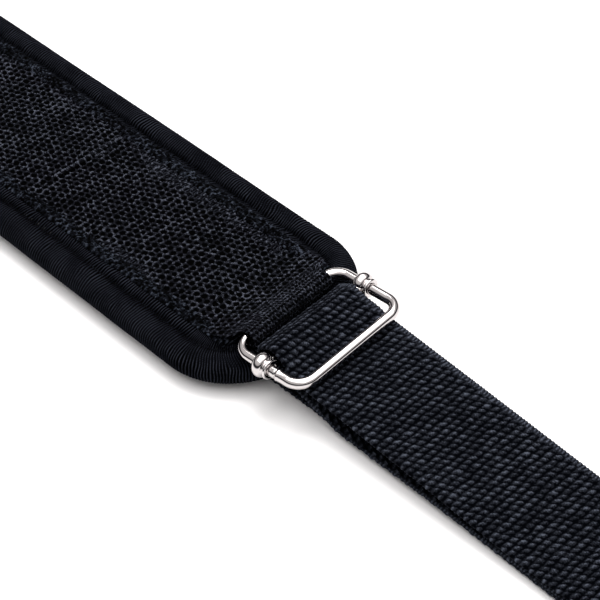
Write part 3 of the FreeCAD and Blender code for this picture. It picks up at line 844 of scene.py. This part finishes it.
def make_webbing():
    run_mid = WEB_THICK / 2
    tail_mid = run_mid + WEB_THICK + 0.1
    s, centre = webbing_route(tail_mid)
    turn_at = int(np.argmin(centre[:, 0] + 1000 * (s > s[-1] * 0.75)))
    upper = np.arange(len(s)) < turn_at

    def cut(first_x, last_x, on_top):
        """Stations between two places, cut at the groove between two columns of the weave."""
        side = upper if on_top else ~upper
        inside = np.where(side & (centre[:, 0] >= first_x) & (centre[:, 0] <= last_x))[0]
        low, high = (int(8 * round(i / 8)) for i in (inside[0], inside[-1]))
        return low, min(high, len(s) - 1)

    bar_wrap = (cut(WRAP_X, 1000, True)[1], cut(0, WRAP_X, False)[1])
    lead = (cut(LEAD_X, 1000, True)[1], bar_wrap[0])
    near = (cut(NEAR_X, 1000, True)[1], lead[0])
    tail_lead = (bar_wrap[1], cut(0, LEAD_X, False)[1])
    far = (0, near[0])
    rest = (tail_lead[1], len(s) - 1)

    def width(x):
        return SQUEEZED_HALF + (WEB_HALF - SQUEEZED_HALF) * smooth(np.clip((x - 162) / 8, 0, 1))

    def slice_of(span):
        return s[span[0]:span[1] + 1], centre[span[0]:span[1] + 1]

    def waves(run, y):
        return 0.10 * value_noise(run / 19, y / 12, 61)

    made = band("webbing_bar_wrap", slice_of(bar_wrap), WEB, width=width, rise=waves, top_step=0.18)
    blended(made, "slider", "moving_bar", (WRAP_X, 0, 12), (163.0, 0, 12), "webbing_slider_loop")
    for name, span, fine in (("webbing_upper_lead", lead, 0.18), ("webbing_tail_lead", tail_lead, 0.36)):
        made = band(name, slice_of(span), WEB, width=width, rise=waves, top_step=fine)
        blended(made, "strap", "slider", (LEAD_X, 0, 9), (WRAP_X + 1, 0, 12))
    made = band("webbing_upper_near", slice_of(near), WEB, rise=waves, top_step=0.19)
    finish_piece(made, "strap", "webbing", "webbing_upper_run")
    made = band("webbing_upper_far", slice_of(far), WEB, rise=waves, top_step=0.36, low_step=0.9)
    finish_piece(made, "strap", "webbing")
    made = band("webbing_tail_run", slice_of(rest), WEB, top_step=0.55, low_step=0.55, caps=(False, True))
    finish_piece(made, "strap", "webbing", "webbing_tail")
    make_tail_hem(tail_mid)
    make_lower_layers(run_mid)
    make_sewn_end(OVERLAY_TOP + 0.1 + run_mid)


def make_tail_hem(tail_mid):
    hem_mid = tail_mid + 1.25
    hem = even_stations(np.array([(TAIL_END_X - 12, hem_mid), (TAIL_END_X + 0.2, hem_mid)]), COLUMN / 6)
    made = band("tail_end_hem_fold", hem, WEB, thick=1.1, high=0.2, top_step=0.36, low_step=0.9,
                caps=(True, True))
    finish_piece(made, "strap", "webbing", "tail_end_hem")
    y = np.linspace(-17, 17, 40)
    rows = [np.column_stack([np.full(len(y), TAIL_END_X - back), y, np.full(len(y), hem_mid + 0.6)])
            for back in (9, 4)]
    made = threads("tail_stitches", rows, THREAD, pitch=2.8, long=2.2, radius=0.25, lift=0.1)
    finish_piece(made, "strap", "thread", "tail_stitching")


def blended(made, first, second, start, end, *nodes):
    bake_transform(made)
    if nodes:
        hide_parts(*nodes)


def half_turn(x, z, radius, side, step):
    angle = np.linspace(math.pi / 2, -math.pi / 2, 60)[::-side]
    return even_stations(np.stack([x + side * radius * np.cos(angle), z + radius * np.sin(angle)], -1), step)


def make_lower_layers(run_mid):
    for name, node, x, z, radius, side in (
            ("webbing_hook_turn", "webbing_hook_fold", HOOK_FOLD_X, HOOK_FOLD_Z, HOOK_FOLD_R, 1),
            ("webbing_left_turn", "webbing_left_fold", LEFT_FOLD_X, LEFT_FOLD_Z, LEFT_FOLD_R, -1)):
        made = band(name, half_turn(x, z, radius, side, COLUMN / 8), WEB, top_step=0.3, low_step=0.6)
        finish_piece(made, "strap", "webbing", node)
    low = [("webbing_lower_right", LOWER_SPLIT_X, HOOK_FOLD_X, 0.44, 0.37, ("webbing_lower_run",)),
           ("webbing_lower_left", LEFT_FOLD_X, LOWER_SPLIT_X, 0.61, 0.5, ())]
    for name, first, last, step, fine, nodes in low:
        stations = even_stations(np.array([(first, run_mid), (last, run_mid)]), step)
        made = band(name, stations, WEB, top_step=fine, low_step=0.55, drift=drift_low, start_s=first)
        finish_piece(made, "strap", "webbing", *nodes)


def make_sewn_end(sewn_mid):
    """The webbing's end on the pad, sewn down by a box of stitches with a cross in it."""
    stations = even_stations(np.array([(LEFT_FOLD_X, sewn_mid), (SEWN_END_X, sewn_mid)]), COLUMN / 8)
    made = band("webbing_sewn_down_end", stations, WEB, top_step=0.25, low_step=0.8, caps=(False, True),
                rise=lambda s, y: 0.12 * value_noise(s / 15, y / 11, 66) + overlay_end_lift(s))
    finish_piece(made, "strap", "webbing", "webbing_sewn_end")
    z = sewn_mid + WEB_THICK / 2 + 0.25
    low_x, high_x, edge = SEWN_END_X - 34, SEWN_END_X - 4, 15.0
    corners = [(low_x, -edge, z), (high_x, -edge, z), (high_x, edge, z), (low_x, edge, z)]
    ends = [(0, 1), (1, 2), (2, 3), (3, 0), (0, 2), (3, 1)]
    rows = [np.linspace(corners[first], corners[last], 30) for first, last in ends]
    made = threads("sewn_end_stitches", rows, THREAD, pitch=2.8, long=2.3, radius=0.3, lift=0.15)
    finish_piece(made, "strap", "thread", "sewn_end_stitching")


def overlay_end_lift(s):
    """The sewn end rides up over the crown of the overlay."""
    return 0.5 * smooth(np.clip((s - 30) / 12, 0, 1))


# ---------------------------------------------------------------- slider and hook
def in_slider_place(points):
    points = np.asarray(points, float)
    c, s = math.cos(SLIDER_PITCH), math.sin(SLIDER_PITCH)
    x = points[..., 0] * c - points[..., 2] * s
    z = points[..., 0] * s + points[..., 2] * c
    c, s = math.cos(SLIDER_YAW), math.sin(SLIDER_YAW)
    return np.stack([x * c - points[..., 1] * s, x * s + points[..., 1] * c, z], -1) + FIXED_BAR


def frame_path():
    """Centre line of the bent wire, starting at the fixed bar, anticlockwise."""
    long, half, corner = SLIDER_LENGTH, SLIDER_HALF, SLIDER_CORNER
    path = []
    for x, y, first in ((0, -half, 180), (long, -half, 270), (long, half, 0), (0, half, 90)):
        centre_x = x + (corner if x == 0 else -corner)
        centre_y = y + (corner if y < 0 else -corner)
        for angle in np.radians(np.linspace(first, first + 90, 25)):
            path.append((centre_x + corner * math.cos(angle), centre_y + corner * math.sin(angle)))
    path = np.array(path + path[:1])
    run = run_along(path)
    s = np.arange(0, run[-1], 0.2)
    return np.stack([np.interp(s, run, path[:, 0]), np.interp(s, run, path[:, 1]), 0 * s], -1)


def make_slider():
    path = frame_path()
    # butt weld on the near short side: one wire end a little fatter, with a low bead at the joint
    on_near = (path[:, 1] < -SLIDER_HALF + 0.01)
    past = np.where(on_near, path[:, 0] - 18.6, -10.0)
    radius = WIRE_R + 0.11 * np.exp(-(past / 0.28) ** 2) - 0.05 * np.exp(-((past + 0.7) / 0.3) ** 2)
    radius = radius + np.where(on_near & (past > 0), 0.10 * np.exp(-past / 1.6), 0)
    wire = tube("slider_frame_wire", in_slider_place(path), radius, CHROME, sides=40, closed=True,
                up=in_slider_place([0, 0, 1.0]) - FIXED_BAR)
    finish_piece(wire, "slider", "chrome", "slider_frame")
    for name, side in (("near", -1), ("far", 1)):
        made = revolve("slider_eyelet_%s_turned" % name, eyelet_profile(), CHROME,
                       lambda p, side=side: in_slider_place(p + np.array([0, side * SLIDER_HALF, 0])))
        finish_piece(made, "moving_bar", "chrome", "slider_bar_eyelet_" + name)
    y = np.linspace(-SLIDER_HALF + 2.6, SLIDER_HALF - 2.6, 120)
    bar = tube("slider_bar_rod", in_slider_place(np.column_stack([0 * y + MOVING_BAR, y, 0 * y])),
               WIRE_R - 0.02, CHROME, sides=36)
    finish_piece(bar, "moving_bar", "chrome", "slider_bar")


def eyelet_profile():
    """Bore, round barrel, neck and thin flange, as (along, radius)."""
    start, bore = MOVING_BAR - 2.6, WIRE_R + 0.08
    profile = [(start + 0.55, bore), (start + 0.2, bore + 0.2)]
    for angle in np.radians(np.linspace(172, 18, 22)):
        profile.append((start + 2.0 + 2.0 * math.cos(angle), 2.0 + 1.9 * abs(math.sin(angle)) ** 0.8))
    profile += [(start + 4.12, 2.52), (start + 4.4, 2.45), (start + 4.56, 2.62)]
    for angle in np.radians(np.linspace(150, 10, 11)):
        profile.append((start + 5.1 + 0.55 * math.cos(angle), 2.72 + 0.5 * math.sin(angle)))
    profile += [(start + 5.66, 2.4), (start + 5.6, bore + 0.25), (start + 5.4, bore)]
    return profile[::-1]


def dress_frame_nodes():
    """Chrome and steel on the hook parts, whose shapes come from the frame."""
    for node in ("hook_eye", "swivel_stud", "hook_body", "hook_gate", "gate_pin", "gate_spring"):
        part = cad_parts[node]
        part.data.materials.clear()
        part.data.materials.append(SPRING if node == "gate_spring" else CHROME)


# ---------------------------------------------------------------- stage
def make_stage():
    floor_half, floor_z = 2500.0, -0.35
    steps = np.linspace(-floor_half, floor_half, 12)
    x, y = np.meshgrid(steps, steps, indexing="ij")
    points = np.stack([x, y, np.full(x.shape, floor_z)], -1)
    pale = Nodes("pale_floor")
    tone = pale.noise(pale.place(uv=False), 3.0, 2.0)
    shades = [(0.3, (0.90, 0.90, 0.90)), (0.7, (0.93, 0.93, 0.93))]
    pale.join(pale.ramp(tone, shades), pale.shader.inputs["Base Color"])
    pale.set(Roughness=0.7, Specular_IOR_Level=0.2)
    floor = make_piece("studio_floor", points, grid_quads(12, 12), pale.material)
    world = bpy.data.worlds.new("studio")
    bpy.context.scene.world = world
    world.use_nodes = True
    tree = world.node_tree
    place = tree.nodes.new("ShaderNodeTexCoord")
    split = tree.nodes.new("ShaderNodeSeparateXYZ")
    ramp = tree.nodes.new("ShaderNodeValToRGB")
    tree.links.new(place.outputs["Generated"], split.inputs[0])
    tree.links.new(split.outputs["Z"], ramp.inputs["Fac"])
    bands = [(0.0, (0.90, 0.89, 0.90)), (0.07, (0.80, 0.79, 0.80)), (0.12, (0.03, 0.03, 0.035)),
             (0.40, (0.03, 0.03, 0.035)), (0.52, (0.62, 0.60, 0.60)), (0.90, (0.92, 0.90, 0.90))]
    while len(ramp.color_ramp.elements) < len(bands):
        ramp.color_ramp.elements.new(0.5)
    for element, (height, colour) in zip(ramp.color_ramp.elements, bands):
        element.position = height
        element.color = (*colour, 1)
    tree.links.new(ramp.outputs["Color"], tree.nodes["Background"].inputs["Color"])
    tree.nodes["Background"].inputs["Strength"].default_value = 1.0
    softbox("top_softbox", (150, 150, 1000), 1500, 1500, 11.0, (1.0, 0.98, 0.975))
    softbox("key_softbox", (-220, 400, 950), 600, 600, 8.0, (1.0, 0.98, 0.97))


def softbox(name, place, wide, high, power, colour):
    lamp = bpy.data.lights.new(name, "AREA")
    lamp.shape = "RECTANGLE"
    lamp.size = wide * MM
    lamp.size_y = high * MM
    lamp.energy = power
    lamp.color = colour
    made = bpy.data.objects.new(name, lamp)
    bpy.context.scene.collection.objects.link(made)
    made.location = Vector(place) * MM
    made.rotation_mode = "QUATERNION"
    made.rotation_quaternion = (Vector(LIGHT_AIM) - Vector(place)).to_track_quat("-Z", "Y")


def make_camera():
    place, aim, up = Vector(CAMERA_PLACE), Vector(CAMERA_AIM), Vector(CAMERA_UP)
    back = (place - aim).normalized()
    right = up.cross(back).normalized()
    up = back.cross(right)
    data = bpy.data.cameras.new("camera")
    data.sensor_width = 36.0
    data.lens = CAMERA_LENS
    data.clip_start = 0.01
    data.clip_end = 20.0
    camera = bpy.data.objects.new("camera", data)
    bpy.context.scene.collection.objects.link(camera)
    turn = Matrix((right, up, back)).transposed().to_4x4()
    camera.matrix_world = Matrix.Translation(place * MM) @ turn
    bpy.context.scene.camera = camera


make_camera()
make_stage()
make_pad()
make_overlay()
make_webbing()
make_slider()
dress_frame_nodes()
bpy.context.scene.view_settings.view_transform = "Standard"
